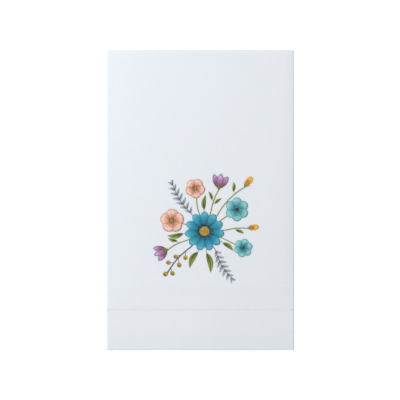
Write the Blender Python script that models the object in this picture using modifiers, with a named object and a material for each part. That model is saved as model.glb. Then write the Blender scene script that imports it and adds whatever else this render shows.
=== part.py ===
"""Embroidered fingertip towel with hemstitched ends, folded as for a towel bar.

Both sides are folded to the back and meet at its middle, then the upper half is folded down behind.
The towel lies on its back leaf: X runs across it, Y towards the top fold, and its face looks along +Z.
The folded cloth is one solid. Each embroidered motif, stem and berry is a thin raised solid on its face.
Sizes are in metres. The posy's tables are in millimetres, measured from the middle of the posy.
"""
from collections import namedtuple
from math import cos, exp, hypot, pi, radians, sin

import bmesh
import bpy

# The cut cloth
FLAT_WIDTH = 0.3556
FLAT_LENGTH = 0.5588
HEM_DEPTH = 0.0389
CLOTH = 0.0010
HEM_CLOTH = 0.0013
HEM_STEP = 0.0025

# The folded towel
FOLDED_WIDTH = 0.1795
FRONT_LENGTH = 0.288
LAYER_GAP = 0.0004
HEM_EASE = 0.018
EDGE_DROOP = 0.0006
RIM = 0.008

# The loft of the folded layers
LOFT = 0.0012
LEFT_RAMP = 0.038
RIGHT_RAMP = 0.010
RIGHT_LOFT = 0.0007
LOFT_FADE = 0.034
Swell = namedtuple("Swell", "x y reach_x reach_y height")
SWELLS = (
    Swell(x=0.075, y=-0.005, reach_x=0.020, reach_y=0.075, height=0.0004),
    Swell(x=0.090, y=0.140, reach_x=0.050, reach_y=0.050, height=-0.0007),
    Swell(x=0.004, y=-0.125, reach_x=0.022, reach_y=0.030, height=0.0003),
    Swell(x=-0.039, y=-0.120, reach_x=0.020, reach_y=0.035, height=-0.0003),
    Swell(x=-0.030, y=0.085, reach_x=0.040, reach_y=0.030, height=-0.0002),
)

# The unevenness of the outline
LEFT_BULGE = 0.0003
LEFT_BULGE_Y = -0.123
LEFT_BULGE_REACH = 0.040
RIGHT_SLANT = 0.0003
HEM_WAVE = 0.00015
HEM_WAVE_LENGTH = 0.125
HEM_WAVE_FADE = 0.040

# Places along and across the cut cloth, worked out from the sizes above
BODY_LAYER = CLOTH + LAYER_GAP / 2
STACK = 4 * CLOTH + 3 * LAYER_GAP
SIDE_FOLD = FOLDED_WIDTH / 2 - BODY_LAYER
SIDE_ARC = pi * (CLOTH + LAYER_GAP) / 2
TURN_RADIUS = CLOTH + LAYER_GAP
TURN_ARC = pi * TURN_RADIUS
TURN_Y = FRONT_LENGTH / 2 - TURN_RADIUS - BODY_LAYER
TURN_START = FRONT_LENGTH / 2 + TURN_Y
TURN_Z = 2 * BODY_LAYER + LAYER_GAP / 2

# The posy
POSY_X = 0.0039
POSY_Y = -0.024
MM = 0.001
THREAD = 0.0006
THREAD_GAP = 0.0003
PIECE_GAP = 0.4
POSY_GRID = 0.010
BERRY_HEIGHT = 0.0009
STEM_WIDTH = 1.0
STEM_STEP = 5.0
VEIN_WIDTH = 1.0
PETAL_STEPS = 10
LEAF_STEPS = 10
ROUND_STEPS = 20

# The shapes of the smaller motifs: a tulip's petals, a bud's narrow base and a fern's leaflets
CUP_SPREAD = radians(28)
CUP_OPENING = radians(52)
CUP_POINT = 0.55
BUD_BASE = 0.62
BUD_CROWN = 1.12
FIRST_LEAFLET = 0.25
LAST_LEAFLET = 0.93
LeafletPoint = namedtuple("LeafletPoint", "along share")
LEAFLET = (
    LeafletPoint(along=0.35, share=0.55),
    LeafletPoint(along=1.00, share=1.00),
    LeafletPoint(along=0.95, share=0.45),
    LeafletPoint(along=0.85, share=0.00),
)

Blossom = namedtuple("Blossom", "name thread eye_thread x y petals first reach width eye")
BLOSSOMS = (
    Blossom("daisy", "teal", "mustard", 0, -6, petals=11, first=90, reach=19.0, width=9.4, eye=5.0),
    Blossom("left_blossom", "peach", "olive", -31, 4, petals=5, first=90, reach=11.5, width=12.0, eye=2.2),
    Blossom("top_blossom", "peach", "olive", -9, 35, petals=5, first=60, reach=9.5, width=10.0, eye=2.0),
    Blossom("right_blossom", "aqua", "charcoal", 31, 15, petals=6, first=90, reach=11.5, width=9.8, eye=2.4),
    Blossom("low_blossom", "aqua", "charcoal", 37, -22, petals=6, first=75, reach=9.0, width=7.8, eye=2.0),
)

Cup = namedtuple("Cup", "name thread x y angle reach width")
CUPS = (
    Cup("upper_tulip", "plum", 13.5, 34.5, angle=80, reach=15.0, width=8.0),
    Cup("lower_tulip", "plum", -35.5, -23.5, angle=203, reach=14.0, width=7.6),
)

Bud = namedtuple("Bud", "name thread x y angle length width")
BUDS = (
    Bud("upper_bud", "orange", 38.5, 37.0, angle=52, length=11.5, width=6.6),
    Bud("right_bud", "orange", 42.0, -3.0, angle=8, length=10.0, width=6.0),
)

Leaf = namedtuple("Leaf", "name thread x y angle length width bend lobes")
LEAVES = (
    Leaf("upper_fern", "grey", -13.0, 11.2, angle=121, length=37, width=11, bend=2.5, lobes=7),
    Leaf("lower_fern", "grey", 10.6, -24.6, angle=-58, length=34, width=11, bend=-2.5, lobes=7),
    Leaf("leaf_left", "olive", -20.8, -8.2, angle=188, length=15, width=5.0, bend=1.5, lobes=0),
    Leaf("leaf_low_left", "olive", -6.6, -26.0, angle=243, length=17, width=5.6, bend=-1.8, lobes=0),
    Leaf("leaf_low", "olive", 2.0, -27.0, angle=281, length=19, width=5.8, bend=1.8, lobes=0),
    Leaf("leaf_right", "olive", 17.6, -17.2, angle=323, length=12.5, width=4.4, bend=1.0, lobes=0),
    Leaf("leaf_top", "olive", -0.6, 15.0, angle=83, length=14, width=4.6, bend=1.0, lobes=0),
    Leaf("leaf_tulip_left", "olive", 7.0, 24.4, angle=112, length=8.5, width=3.2, bend=-0.6, lobes=0),
    Leaf("leaf_tulip_right", "olive", 10.0, 20.6, angle=38, length=8.0, width=3.0, bend=0.6, lobes=0),
    Leaf("leaf_bud_stem", "olive", 27.4, 32.4, angle=88, length=9.0, width=3.4, bend=-0.7, lobes=0),
    Leaf("leaf_low_bud", "olive", 30.0, -5.0, angle=-22, length=8.5, width=3.2, bend=0.6, lobes=0),
    Leaf("leaf_lower_tulip", "olive", -26.4, -15.2, angle=164, length=9.0, width=3.4, bend=0.7, lobes=0),
)

Stem = namedtuple("Stem", "name thread angle start x y bow")
STEMS = (
    Stem("left_blossom_stem", "olive", angle=160, start=20.2, x=-21.4, y=1.3, bow=0),
    Stem("top_blossom_stem", "olive", angle=107, start=20.2, x=-7.6, y=25.6, bow=0.6),
    Stem("right_blossom_stem", "olive", angle=34, start=20.2, x=21.3, y=8.6, bow=0),
    Stem("low_blossom_stem", "olive", angle=-21, start=20.2, x=28.4, y=-18.2, bow=0),
    Stem("upper_tulip_stem", "olive", angle=72, start=20.2, x=12.9, y=32.8, bow=1.0),
    Stem("lower_tulip_stem", "olive", angle=207, start=20.2, x=-33.8, y=-22.7, bow=-1.0),
    Stem("upper_bud_stem", "olive", angle=52, start=20.2, x=37.5, y=35.7, bow=2.4),
    Stem("right_bud_stem", "olive", angle=3, start=20.2, x=41.1, y=-3.2, bow=1.0),
    Stem("berry_twig", "charcoal", angle=229, start=20.2, x=-34.6, y=-44.4, bow=-1.8),
)

Berry = namedtuple("Berry", "name x y radius")
BERRIES = (
    Berry("berry_1", -18.4, -31.2, 2.1),
    Berry("berry_2", -27.6, -30.2, 2.1),
    Berry("berry_3", -24.4, -38.2, 2.2),
    Berry("berry_4", -34.6, -36.0, 2.1),
    Berry("berry_5", -30.8, -46.2, 2.2),
    Berry("berry_6", -37.4, -46.8, 2.3),
)

Finish = namedtuple("Finish", "colour roughness")
FINISHES = {
    "linen": Finish((0.80, 0.83, 0.88), 0.90),
    "teal": Finish((0.05, 0.33, 0.46), 0.60),
    "aqua": Finish((0.28, 0.60, 0.57), 0.60),
    "peach": Finish((0.89, 0.56, 0.42), 0.60),
    "plum": Finish((0.36, 0.10, 0.27), 0.60),
    "orange": Finish((0.87, 0.38, 0.02), 0.60),
    "olive": Finish((0.27, 0.33, 0.06), 0.60),
    "mustard": Finish((0.50, 0.26, 0.03), 0.60),
    "charcoal": Finish((0.03, 0.04, 0.05), 0.60),
    "grey": Finish((0.55, 0.60, 0.65), 0.60),
}


def clear_scene():
    for item in list(bpy.data.objects):
        bpy.data.objects.remove(item, do_unlink=True)


def make_materials():
    materials = {}
    for name, finish in FINISHES.items():
        material = bpy.data.materials.new(name)
        material.use_nodes = True
        shader = material.node_tree.nodes["Principled BSDF"]
        shader.inputs["Base Color"].default_value = (*finish.colour, 1.0)
        shader.inputs["Roughness"].default_value = finish.roughness
        shader.inputs["Metallic"].default_value = 0.0
        materials[name] = material
    return materials


def smooth(start, end, value):
    """Ease from 0 at start to 1 at end."""
    share = min(1.0, max(0.0, (value - start) / (end - start)))
    return share * share * (3 - 2 * share)


def hem_share(v, run):
    """1 inside the hem at either end of the cloth, easing to 0 over the run beside it."""
    from_end = min(v, FLAT_LENGTH - v)
    return 1 - smooth(HEM_DEPTH, HEM_DEPTH + run, from_end)


def layer(v):
    """From a leaf's middle plane to its outer face: one layer of cloth and half a gap."""
    return BODY_LAYER + (HEM_CLOTH - CLOTH) * hem_share(v, HEM_EASE)


def front_support(y):
    """Height of what the front leaf lies on: the back leaf, and past its end a slight droop."""
    back_v = TURN_START + TURN_ARC + TURN_Y - y
    overhang = FRONT_LENGTH / 2 + TURN_Y - (FLAT_LENGTH - TURN_START - TURN_ARC)
    droop = EDGE_DROOP * smooth(0, overhang, back_v - FLAT_LENGTH)
    return 2 * layer(back_v) + LAYER_GAP - droop


def loft(x, y):
    """How far the face stands above the pressed layers at a place."""
    from_left = FOLDED_WIDTH / 2 + x
    from_right = FOLDED_WIDTH / 2 - x
    crown = smooth(0, LEFT_RAMP, from_left)
    shoulder = RIGHT_LOFT + (LOFT - RIGHT_LOFT) * smooth(0, RIGHT_RAMP, from_right)
    hem_line = HEM_DEPTH - FRONT_LENGTH / 2
    rise = crown * shoulder * smooth(hem_line, hem_line + LOFT_FADE, y)
    for swell in SWELLS:
        across = (x - swell.x) / swell.reach_x
        along = (y - swell.y) / swell.reach_y
        rise += swell.height * exp(-across * across - along * along)
    return rise


def wander(x, y, v):
    """The side folds and the hem's edge run a little unevenly."""
    side = x / (FOLDED_WIDTH / 2)
    if side < 0:
        from_bulge = (y - LEFT_BULGE_Y) / LEFT_BULGE_REACH
        x += side * LEFT_BULGE * exp(-from_bulge * from_bulge)
    else:
        x -= side * RIGHT_SLANT * y / FRONT_LENGTH
    edge = 1 - smooth(0, HEM_WAVE_FADE, v)
    return x, y - HEM_WAVE * edge * sin(2 * pi * x / HEM_WAVE_LENGTH)


def across_fold(u, v):
    """Across the cloth: the place from side to side, and 1 on the panel to -1 on a turned flap."""
    reach = layer(v)
    fold = FOLDED_WIDTH / 2 - reach
    side = -1 if u < 0 else 1
    beyond = abs(u) - SIDE_FOLD
    if beyond <= 0:
        return u * fold / SIDE_FOLD, 1.0
    if beyond >= SIDE_ARC:
        return side * (fold - (beyond - SIDE_ARC)), -1.0
    turn = pi * beyond / SIDE_ARC
    return side * (fold + reach * sin(turn)), cos(turn)


def fold(u, v):
    """Where a point of the cloth's right side lies when the towel is folded."""
    x, facing = across_fold(u, v)
    reach = facing * layer(v)
    if v <= TURN_START:
        y = v - FRONT_LENGTH / 2
        z = front_support(y) + layer(v) + reach
    elif v < TURN_START + TURN_ARC:
        turn = pi * (v - TURN_START) / TURN_ARC
        y = TURN_Y + (TURN_RADIUS + reach) * sin(turn)
        z = TURN_Z + (TURN_RADIUS + reach) * cos(turn)
    else:
        y = TURN_Y - (v - TURN_START - TURN_ARC)
        z = layer(v) - reach
    x, y = wander(x, y, v)
    z += loft(x, y) * max(0.0, (z - CLOTH) / (STACK - CLOTH))
    return x, y, z


def face_height(x, y):
    """Height of the towel's face above the surface it lies on."""
    return fold(x, y + FRONT_LENGTH / 2)[2]


def stations(*runs):
    """The values from each run's start to its end, in its number of steps."""
    values = [runs[0][0]]
    for start, end, steps in runs:
        values += [start + (end - start) * step / steps for step in range(1, steps + 1)]
    return values


def towel_columns():
    flap = (SIDE_FOLD + SIDE_ARC, FLAT_WIDTH / 2, 6)
    arc = (SIDE_FOLD, SIDE_FOLD + SIDE_ARC, 6)
    rim = (SIDE_FOLD - RIM, SIDE_FOLD, 2)
    half = stations((0, SIDE_FOLD - RIM, 7), rim, arc, flap)
    return [-u for u in reversed(half[1:])] + half


def towel_rows():
    hem_end = HEM_DEPTH + HEM_STEP
    back_hem = FLAT_LENGTH - HEM_DEPTH
    return stations(
        (0, HEM_DEPTH, 4),
        (HEM_DEPTH, hem_end, 2),
        (hem_end, TURN_START - RIM, 20),
        (TURN_START - RIM, TURN_START, 1),
        (TURN_START, TURN_START + TURN_ARC, 8),
        (TURN_START + TURN_ARC, back_hem - HEM_STEP, 13),
        (back_hem - HEM_STEP, back_hem, 1),
        (back_hem, FLAT_LENGTH, 3),
    )


def make_towel(collection, material):
    """The folded cloth: a flat grid carried to its folds, then thickened to its wrong side."""
    columns = towel_columns()
    rows = towel_rows()
    mesh = bpy.data.meshes.new("towel")
    cloth = bmesh.new()
    bmesh.ops.create_grid(cloth, x_segments=len(columns) - 1, y_segments=len(rows) - 1, size=1)
    weights = cloth.verts.layers.deform.verify()
    for vertex in cloth.verts:
        u = columns[round((vertex.co.x + 1) / 2 * (len(columns) - 1))]
        v = rows[round((vertex.co.y + 1) / 2 * (len(rows) - 1))]
        thickness = CLOTH + (HEM_CLOTH - CLOTH) * hem_share(v, HEM_STEP)
        vertex[weights][0] = thickness / HEM_CLOTH
        vertex.co = fold(u, v)
    cloth.to_mesh(mesh)
    cloth.free()
    towel = bpy.data.objects.new("towel", mesh)
    collection.objects.link(towel)
    towel.vertex_groups.new(name="thickness")
    solidify = towel.modifiers.new("cloth", "SOLIDIFY")
    solidify.thickness = HEM_CLOTH
    solidify.offset = -1
    solidify.use_even_offset = True
    solidify.vertex_group = "thickness"
    mesh.materials.append(material)
    mesh.shade_smooth()
    return towel


def posy_place(x, y):
    """A place in the posy's millimetres, in metres on the towel."""
    return POSY_X + x * MM, POSY_Y + y * MM


def from_daisy(angle, distance):
    daisy = BLOSSOMS[0]
    return daisy.x + distance * cos(radians(angle)), daisy.y + distance * sin(radians(angle))


def turned(points, x, y, angle):
    """An outline turned by an angle in degrees and moved to its place."""
    c = cos(radians(angle))
    s = sin(radians(angle))
    return [(x + c * px - s * py, y + s * px + c * py) for px, py in points]


def disc(radius):
    steps = [2 * pi * step / ROUND_STEPS for step in range(ROUND_STEPS)]
    return [(radius * cos(turn), radius * sin(turn)) for turn in steps]


def petal_reach(turn, reach, width):
    """From a petal's root to its rim, at a turn from its axis, on an oval through the root."""
    if abs(turn) >= pi / 2:
        return 0.0
    along = reach / 2
    across = width / 2
    return (2 * cos(turn) / along) / ((cos(turn) / along) ** 2 + (sin(turn) / across) ** 2)


def nearest_turn(turn, direction):
    return (turn - direction + pi) % (2 * pi) - pi


def blossom_outline(petals, reach, width, waist):
    """Round petals about a middle, the first along +X."""
    directions = [2 * pi * petal / petals for petal in range(petals)]
    steps = petals * PETAL_STEPS
    outline = []
    for step in range(steps):
        turn = 2 * pi * step / steps
        rims = [petal_reach(nearest_turn(turn, way), reach, width) for way in directions]
        radius = max(waist, *rims)
        outline.append((radius * cos(turn), radius * sin(turn)))
    return outline


def cup_outline(reach, width):
    """Three pointed petals of a tulip that open along +X from its base."""
    outline = [(0.0, 0.0)]
    steps = 4 * PETAL_STEPS
    for step in range(steps + 1):
        turn = (step / steps * 2 - 1) * CUP_OPENING
        radius = 0.0
        for way in (-CUP_SPREAD, 0.0, CUP_SPREAD):
            off = abs(turn - way) / (width / reach)
            radius = max(radius, reach * max(0.0, 1 - off) ** CUP_POINT)
        outline.append((radius * cos(turn), radius * sin(turn)))
    return outline


def bud_outline(length, width):
    """A drop that starts narrow at its base and runs along +X."""
    outline = []
    for step in range(ROUND_STEPS):
        turn = 2 * pi * step / ROUND_STEPS
        along = (1 - cos(turn)) / 2
        fullness = BUD_BASE + (BUD_CROWN - BUD_BASE) * along
        outline.append((length * along, width / 2 * sin(turn) * fullness))
    return outline


def bowed(along, length, bend):
    """A place on a line along +X that bows to its left, at a share of its length."""
    return length * along, 4 * bend * along * (1 - along)


def leaf_outline(leaf):
    """A plain leaf along +X: a point at each end and widest near its middle."""
    rim = []
    for step in range(LEAF_STEPS + 1):
        along = step / LEAF_STEPS
        x, y = bowed(along, leaf.length, leaf.bend)
        half = leaf.width / 2 * sin(pi * along ** 0.8) ** 0.8 if 0 < step < LEAF_STEPS else 0.0
        rim.append((x, y, half))
    left = [(x, y + half) for x, y, half in rim]
    right = [(x, y - half) for x, y, half in rim[-2:0:-1]]
    return left + right


def fern_outline(leaf):
    """A fern along +X: pairs of leaflets that sweep forward from a narrow vein."""
    rim = [(0.0, 0.0, VEIN_WIDTH / 2)]
    pitch = leaf.length / leaf.lobes
    for lobe in range(leaf.lobes):
        x, y = bowed(lobe / leaf.lobes, leaf.length, leaf.bend)
        fullness = FIRST_LEAFLET + (LAST_LEAFLET - FIRST_LEAFLET) * lobe / leaf.lobes
        reach = leaf.width / 2 * sin(pi * fullness)
        for point in LEAFLET:
            half = max(VEIN_WIDTH / 2, reach * point.share)
            rim.append((x + pitch * point.along, y, half))
    left = [(x, y + half) for x, y, half in rim]
    right = [(x, y - half) for x, y, half in reversed(rim)]
    return left + [(leaf.length + pitch / 2, 0.0)] + right


def flat_patch(outlines, thickness):
    """A filled flat outline as a closed mesh. A second outline inside the first is a hole."""
    curve = bpy.data.curves.new("patch", "CURVE")
    curve.dimensions = "2D"
    curve.fill_mode = "BOTH"
    curve.extrude = thickness / 2
    for outline in outlines:
        spline = curve.splines.new("POLY")
        spline.points.add(len(outline) - 1)
        spline.use_cyclic_u = True
        for point, (x, y) in zip(spline.points, outline):
            point.co = (*posy_place(x, y), 0, 1)
    flat = bpy.data.objects.new("patch", curve)
    bpy.context.scene.collection.objects.link(flat)
    graph = bpy.context.evaluated_depsgraph_get()
    mesh = bpy.data.meshes.new_from_object(flat.evaluated_get(graph))
    bpy.data.objects.remove(flat)
    bpy.data.curves.remove(curve)
    return mesh


def cut_on_grid(patch):
    """Cut a patch along the posy's grid, so that it can follow the face."""
    for axis in range(2):
        low = min(vertex.co[axis] for vertex in patch.verts)
        high = max(vertex.co[axis] for vertex in patch.verts)
        cuts = int((high - low) / POSY_GRID)
        for cut in range(1, cuts + 1):
            place = [0.0, 0.0, 0.0]
            normal = [0.0, 0.0, 0.0]
            place[axis] = low + (high - low) * cut / (cuts + 1)
            normal[axis] = 1.0
            geometry = patch.verts[:] + patch.edges[:] + patch.faces[:]
            bmesh.ops.bisect_plane(patch, geom=geometry, dist=1e-6, plane_co=place, plane_no=normal)


def add_patch(collection, name, outlines, material):
    """A worked motif: its outline, one thread thick, lying on the face of the towel."""
    mesh = flat_patch(outlines, THREAD)
    patch = bmesh.new()
    patch.from_mesh(mesh)
    bmesh.ops.remove_doubles(patch, verts=patch.verts, dist=1e-6)
    cut_on_grid(patch)
    for vertex in patch.verts:
        vertex.co.z += face_height(vertex.co.x, vertex.co.y) + THREAD_GAP + THREAD / 2
    bmesh.ops.recalc_face_normals(patch, faces=patch.faces)
    patch.to_mesh(mesh)
    patch.free()
    mesh.name = name
    mesh.materials.clear()
    mesh.materials.append(material)
    motif = bpy.data.objects.new(name, mesh)
    collection.objects.link(motif)
    return motif


def add_stem(collection, stem, material):
    """A stem from near the daisy to its flower: a cord that bows to its left on the way."""
    start = from_daisy(stem.angle, stem.start)
    run = (stem.x - start[0], stem.y - start[1])
    length = hypot(*run)
    steps = max(1, round(length / STEM_STEP))
    curve = bpy.data.curves.new(stem.name, "CURVE")
    curve.dimensions = "3D"
    curve.bevel_depth = STEM_WIDTH / 2 * MM
    curve.bevel_resolution = 1
    curve.use_fill_caps = True
    spline = curve.splines.new("POLY")
    spline.points.add(steps)
    for step, point in enumerate(spline.points):
        along = step / steps
        bow = 4 * stem.bow * along * (1 - along)
        x, y = posy_place(
            start[0] + run[0] * along - run[1] / length * bow,
            start[1] + run[1] * along + run[0] / length * bow,
        )
        point.co = (x, y, face_height(x, y) + THREAD_GAP + STEM_WIDTH / 2 * MM, 1)
    cord = bpy.data.objects.new(stem.name, curve)
    curve.materials.append(material)
    collection.objects.link(cord)
    return cord


def add_berry(collection, berry, material):
    """A berry: a flattened ball that lies on the face."""
    x, y = posy_place(berry.x, berry.y)
    mesh = bpy.data.meshes.new(berry.name)
    ball = bmesh.new()
    bmesh.ops.create_uvsphere(ball, u_segments=12, v_segments=6, radius=berry.radius * MM)
    flatten = BERRY_HEIGHT / (2 * berry.radius * MM)
    for vertex in ball.verts:
        vertex.co.z *= flatten
    ball.to_mesh(mesh)
    ball.free()
    mesh.materials.append(material)
    mesh.shade_smooth()
    item = bpy.data.objects.new(berry.name, mesh)
    item.location = (x, y, face_height(x, y) + THREAD_GAP + BERRY_HEIGHT / 2)
    collection.objects.link(item)
    return item


def add_blossom(collection, blossom, materials):
    """A flower's petals as one ring, and its eye in the ring's hole."""
    hole = blossom.eye + PIECE_GAP
    petals = blossom_outline(blossom.petals, blossom.reach, blossom.width, hole + 1)
    rim = turned(petals, blossom.x, blossom.y, blossom.first)
    inner = turned(disc(hole), blossom.x, blossom.y, 0)
    eye = turned(disc(blossom.eye), blossom.x, blossom.y, 0)
    add_patch(collection, blossom.name, [rim, inner], materials[blossom.thread])
    add_patch(collection, blossom.name + "_eye", [eye], materials[blossom.eye_thread])


def make_posy(collection, materials):
    for blossom in BLOSSOMS:
        add_blossom(collection, blossom, materials)
    for cup in CUPS:
        outline = turned(cup_outline(cup.reach, cup.width), cup.x, cup.y, cup.angle)
        add_patch(collection, cup.name, [outline], materials[cup.thread])
    for bud in BUDS:
        outline = turned(bud_outline(bud.length, bud.width), bud.x, bud.y, bud.angle)
        add_patch(collection, bud.name, [outline], materials[bud.thread])
    for leaf in LEAVES:
        flat = fern_outline(leaf) if leaf.lobes else leaf_outline(leaf)
        outline = turned(flat, leaf.x, leaf.y, leaf.angle)
        add_patch(collection, leaf.name, [outline], materials[leaf.thread])
    for stem in STEMS:
        add_stem(collection, stem, materials[stem.thread])
    for berry in BERRIES:
        add_berry(collection, berry, materials["mustard"])


def main():
    clear_scene()
    collection = bpy.data.collections.new("fingertip_towel")
    bpy.context.scene.collection.children.link(collection)
    materials = make_materials()
    make_towel(collection, materials["linen"])
    make_posy(collection, materials)


main()
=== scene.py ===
"""The looks of a folded fingertip towel: its linen, its hemstitching and its embroidered posy.

The cloth is a thin sheet on the folds of its solid. Everything on it is thread laid on that sheet.
Sizes are in metres. The posy's tables are in millimetres, measured from the middle of the posy.
"""
from collections import namedtuple
from math import cos, hypot, pi, radians, sin

import bmesh
import bpy
import numpy as np
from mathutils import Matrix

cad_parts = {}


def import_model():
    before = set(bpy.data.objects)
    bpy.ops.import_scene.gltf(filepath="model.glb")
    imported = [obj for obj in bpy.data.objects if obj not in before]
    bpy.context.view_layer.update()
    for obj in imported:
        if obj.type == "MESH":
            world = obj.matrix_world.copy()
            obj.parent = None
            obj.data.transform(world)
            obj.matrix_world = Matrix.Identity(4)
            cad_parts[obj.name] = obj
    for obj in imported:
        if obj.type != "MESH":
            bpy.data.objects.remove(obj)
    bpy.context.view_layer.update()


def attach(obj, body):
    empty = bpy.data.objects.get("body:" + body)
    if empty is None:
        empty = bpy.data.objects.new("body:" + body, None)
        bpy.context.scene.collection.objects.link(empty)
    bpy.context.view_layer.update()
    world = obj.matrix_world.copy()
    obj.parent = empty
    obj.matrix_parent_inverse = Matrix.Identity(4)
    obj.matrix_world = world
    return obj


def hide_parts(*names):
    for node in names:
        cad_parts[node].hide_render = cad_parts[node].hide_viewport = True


MM = 0.001

# The cut cloth, and its folds
FLAT_WIDTH = 0.3556
FLAT_LENGTH = 0.5588
HEM_DEPTH = 0.0389
LINEN = 0.0006
RIM_ANGLE = radians(50)
FOLDED_WIDTH = 0.1795
FRONT_LENGTH = 0.288
LAYER = 0.0012
HEM_LAYER = 0.0015
LAYER_GAP = 0.0004
HEM_EASE = 0.018
EDGE_DROOP = 0.0006
CAD_CLOTH = 0.0010
STACK = 0.0052

# The loft of the folded layers
LOFT = 0.0012
LEFT_RAMP = 0.038
RIGHT_RAMP = 0.010
RIGHT_LOFT = 0.0007
LOFT_FADE = 0.034
Swell = namedtuple("Swell", "x y reach_x reach_y height")
SWELLS = (
    Swell(x=0.075, y=-0.005, reach_x=0.020, reach_y=0.075, height=0.0004),
    Swell(x=0.090, y=0.140, reach_x=0.050, reach_y=0.050, height=-0.0007),
    Swell(x=0.004, y=-0.125, reach_x=0.022, reach_y=0.030, height=0.0003),
    Swell(x=-0.039, y=-0.120, reach_x=0.020, reach_y=0.035, height=-0.0003),
    Swell(x=-0.030, y=0.085, reach_x=0.040, reach_y=0.030, height=-0.0002),
)

# The unevenness of the outline
LEFT_BULGE = 0.0003
LEFT_BULGE_Y = -0.123
LEFT_BULGE_REACH = 0.040
RIGHT_SLANT = 0.0003
HEM_WAVE = 0.00015
HEM_WAVE_LENGTH = 0.125
HEM_WAVE_FADE = 0.040

# Places along and across the cut cloth
SIDE_FOLD = FOLDED_WIDTH / 2 - LAYER
SIDE_ARC = pi * 0.0007
PRESSED = 0.7
TURN_RADIUS = 0.0014
TURN_ARC = pi * TURN_RADIUS
TURN_Y = FRONT_LENGTH / 2 - TURN_RADIUS - LAYER
TURN_START = FRONT_LENGTH / 2 + TURN_Y
TURN_Z = 2 * LAYER + LAYER_GAP / 2
BESIDE = 0.006

# The weave's and the thread's fine surface
WEAVE_PITCH = 0.00045
WEAVE_DEPTH = 0.00008
SLUB_SCALES = ((1500, 60, 1), (60, 1500, 1))
NAP_SCALE = 900.0
PLY_LENGTH = 0.0011
PLY_DEPTH = 0.00006
FIBRE_SCALE = 2600.0

# The hems and the hemstitching
HEM_TURN = 0.00035
HEM_TURN_STEPS = 7
SLOT = 0.00065
BUNDLE_PITCH = 0.00216
YARNS = 4
YARN = 0.0005
YARN_DEPTH = 0.0002
YARN_SIDES = 6
BAND_WIDTH = 0.00028
BAND_REACH = 0.00086
BAND_DEPTH = 0.00015
BAND_SIDES = 10
BAND_RINGS = (-1.0, -0.5, 0.5, 1.0)
BAND_SWELLS = (0.80, 1.0, 1.0, 0.80)

# Thread: widths, lifts and gaps are in millimetres
THREAD = 0.40
THREAD_SIDES = 6
THREAD_RINGS = 6
SPACING = 0.86 * THREAD
STEM_WIDTH = 0.42
STALK_WIDTH = 0.34
OUTLINE_WIDTH = 0.32
SEAM_WIDTH = 0.28
VEIN_WIDTH = 0.26
LOW_LIFT = 0.28
BODY_LIFT = 0.30
TOP_LIFT = 0.74
SHORTEST = 0.8
GROUND_LIFTS = (0.02, 0.20)
GROUND_TONE = 0.3
TONE_NOISE = 0.12
TINY = 1e-6

# The posy's middle on the towel
POSY_X = 0.0039
POSY_Y = -0.024

# The camera and the stage
PIXEL = 0.00096
FRAME_PIXELS = 400
LENS = 100
SENSOR = 36
CAMERA_X = -0.00043
CAMERA_Y = -0.0001
MIDDLE_HEIGHT = 0.0044
FLOOR_REACH = 3.0
FLOOR_DROP = 0.0002
FLOOR_COLOUR = (0.15, 0.15, 0.15, 1.0)
FLOOR_GLOW = 0.95
WHITE = (1.0, 1.0, 1.0, 1.0)
SKY_COLOUR = (0.99, 0.995, 1.0, 1.0)
SKY_STRENGTH = 0.50
Lamp = namedtuple("Lamp", "name place size power colour")
LAMPS = (
    Lamp("key", place=(-1.0, 0.6, 1.35), size=0.8, power=20.0, colour=(0.985, 0.995, 1.0)),
    Lamp("window", place=(-0.55, 0.55, 0.75), size=0.5, power=0.9, colour=(0.55, 0.75, 1.0)),
)


def smooth(start, end, value):
    """Ease from 0 at start to 1 at end."""
    share = np.clip((value - start) / (end - start), 0.0, 1.0)
    return share * share * (3 - 2 * share)


def rounded(share):
    """Rise from 0 to 1, steepest at the start."""
    left = 1 - np.clip(share, 0.0, 1.0)
    return 1 - left * left


def full_turn(steps):
    """The angles of equal steps round a circle."""
    return 2 * pi * np.arange(steps) / steps


def hem_share(v, run):
    """1 inside the hem at either end of the cloth, easing to 0 over the run beside it."""
    from_end = np.minimum(v, FLAT_LENGTH - v)
    return 1 - smooth(HEM_DEPTH, HEM_DEPTH + run, from_end)


def layer(v):
    """From a leaf's middle plane to its outer face."""
    return LAYER + (HEM_LAYER - LAYER) * hem_share(v, HEM_EASE)


def front_support(y):
    """Height of what the front leaf lies on: the back leaf, and past its end a slight droop."""
    back_v = TURN_START + TURN_ARC + TURN_Y - y
    overhang = FRONT_LENGTH / 2 + TURN_Y - (FLAT_LENGTH - TURN_START - TURN_ARC)
    droop = EDGE_DROOP * smooth(0, overhang, back_v - FLAT_LENGTH)
    return 2 * layer(back_v) + LAYER_GAP - droop


def loft(x, y):
    """How far the face stands above the pressed layers at a place."""
    from_left = FOLDED_WIDTH / 2 + x
    from_right = FOLDED_WIDTH / 2 - x
    crown = rounded(from_left / LEFT_RAMP)
    shoulder = RIGHT_LOFT + (LOFT - RIGHT_LOFT) * rounded(from_right / RIGHT_RAMP)
    hem_line = HEM_DEPTH - FRONT_LENGTH / 2
    rise = crown * shoulder * smooth(hem_line, hem_line + LOFT_FADE, y)
    for swell in SWELLS:
        across = (x - swell.x) / swell.reach_x
        along = (y - swell.y) / swell.reach_y
        rise = rise + swell.height * np.exp(-across * across - along * along)
    return rise


def wander(x, y, v):
    """The side folds and the hem's edge run a little unevenly."""
    side = x / (FOLDED_WIDTH / 2)
    from_bulge = (y - LEFT_BULGE_Y) / LEFT_BULGE_REACH
    left = side * LEFT_BULGE * np.exp(-from_bulge * from_bulge)
    right = -side * RIGHT_SLANT * y / FRONT_LENGTH
    x = x + np.where(side < 0, left, right)
    edge = 1 - smooth(0, HEM_WAVE_FADE, v)
    return x, y - HEM_WAVE * edge * np.sin(2 * pi * x / HEM_WAVE_LENGTH)


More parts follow.
